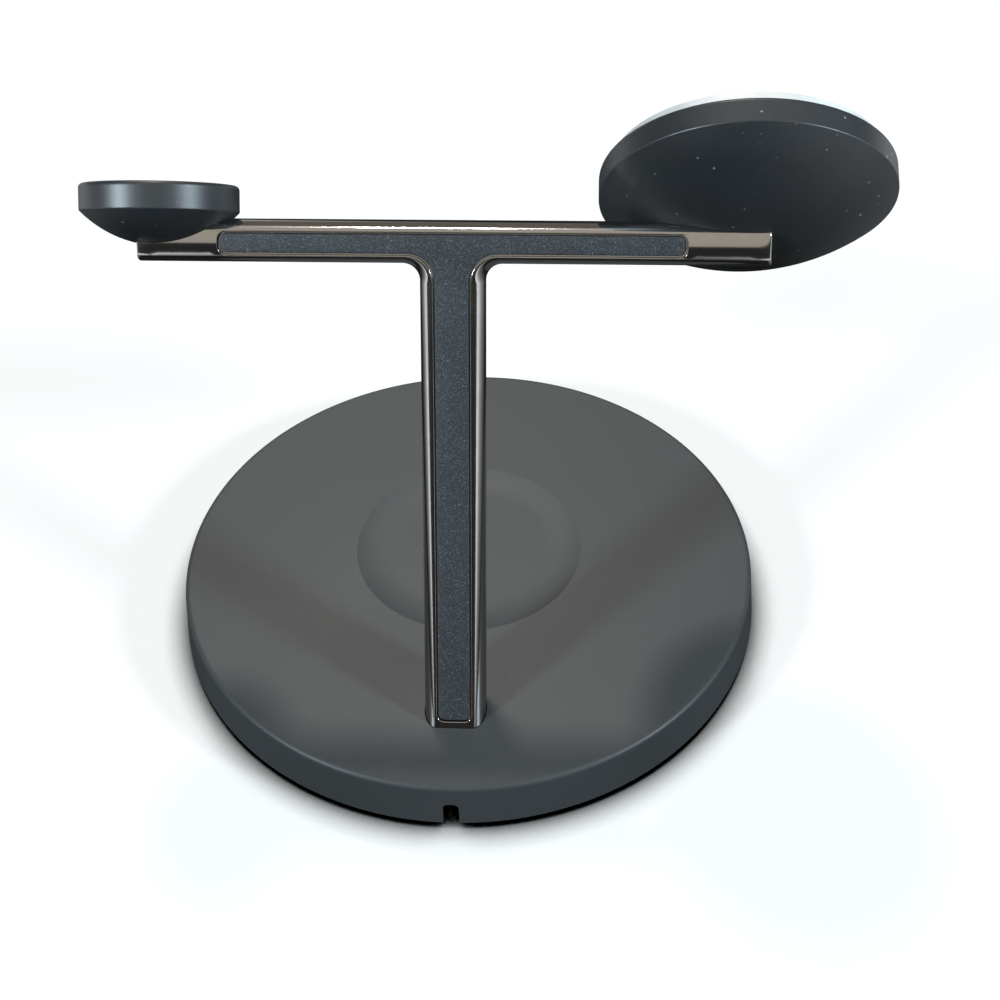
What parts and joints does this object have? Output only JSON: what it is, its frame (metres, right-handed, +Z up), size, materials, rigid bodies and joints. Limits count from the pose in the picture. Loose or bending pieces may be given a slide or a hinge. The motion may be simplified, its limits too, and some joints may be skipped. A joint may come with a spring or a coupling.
{
  "type": "wireless charging stand",
  "caption": "Charging stand: a round weighted base with a shallow earbud dish and a leaning chrome T frame that holds a domed phone pad and a smaller domed watch pad.",
  "frame": {"origin": "centre of the round base on the surface it stands on", "axes": "+Z up, -Y the front that the phone faces, +X towards the watch pad"},
  "size_m": [0.1671, 0.1388, 0.1377],
  "materials": {
    "soft_touch_grey": "soft-touch satin",
    "moulded_black": "fine moulded grain",
    "foot_rubber": "matt",
    "chrome_frame": "polished dark chrome",
    "slate_inlay": "fine grain",
    "plated_steel": "zinc plated",
    "board_green": "solder mask",
    "copper_winding": "lacquered copper wire",
    "ferrite_grey": "matt",
    "magnet_nickel": "nickel plated",
    "cup_aluminium": "bead blasted",
    "face_white": "soft silicone",
    "screw_steel": "zinc plated",
    "inlet_steel": "nickel plated",
    "lead_sheath": "satin",
    "lens_clear": "frosted"
  },
  "bodies": {
    "root": {"base_top_housing": "soft_touch_grey", "phone_pad_housing": "soft_touch_grey", "watch_pad_housing": "soft_touch_grey", "base_bottom_cover": "moulded_black", "coil_tray": "moulded_black", "stand_connector": "moulded_black", "base_foot": "foot_rubber", "stand_frame": "chrome_frame", "stand_inlay": "slate_inlay", "base_weight": "plated_steel", "base_circuit_board": "board_green", "phone_pad_board": "board_green", "earbud_coil": "copper_winding", "phone_pad_coil": "copper_winding", "watch_pad_coil": "copper_winding", "earbud_shield": "ferrite_grey", "phone_pad_shield": "ferrite_grey", "watch_pad_shield": "ferrite_grey", "phone_pad_magnets": "magnet_nickel", "watch_pad_magnet": "magnet_nickel", "phone_pad_cup": "cup_aluminium", "watch_pad_cup": "cup_aluminium", "phone_pad_face": "face_white", "watch_pad_face": "face_white", "base_cover_screws": "screw_steel", "stand_foot_screws": "screw_steel", "phone_pad_screws": "screw_steel", "watch_pad_screws": "screw_steel", "power_inlet": "inlet_steel", "phone_lead": "lead_sheath", "watch_lead": "lead_sheath", "indicator_lens": "lens_clear"}
  },
  "joints": []
}
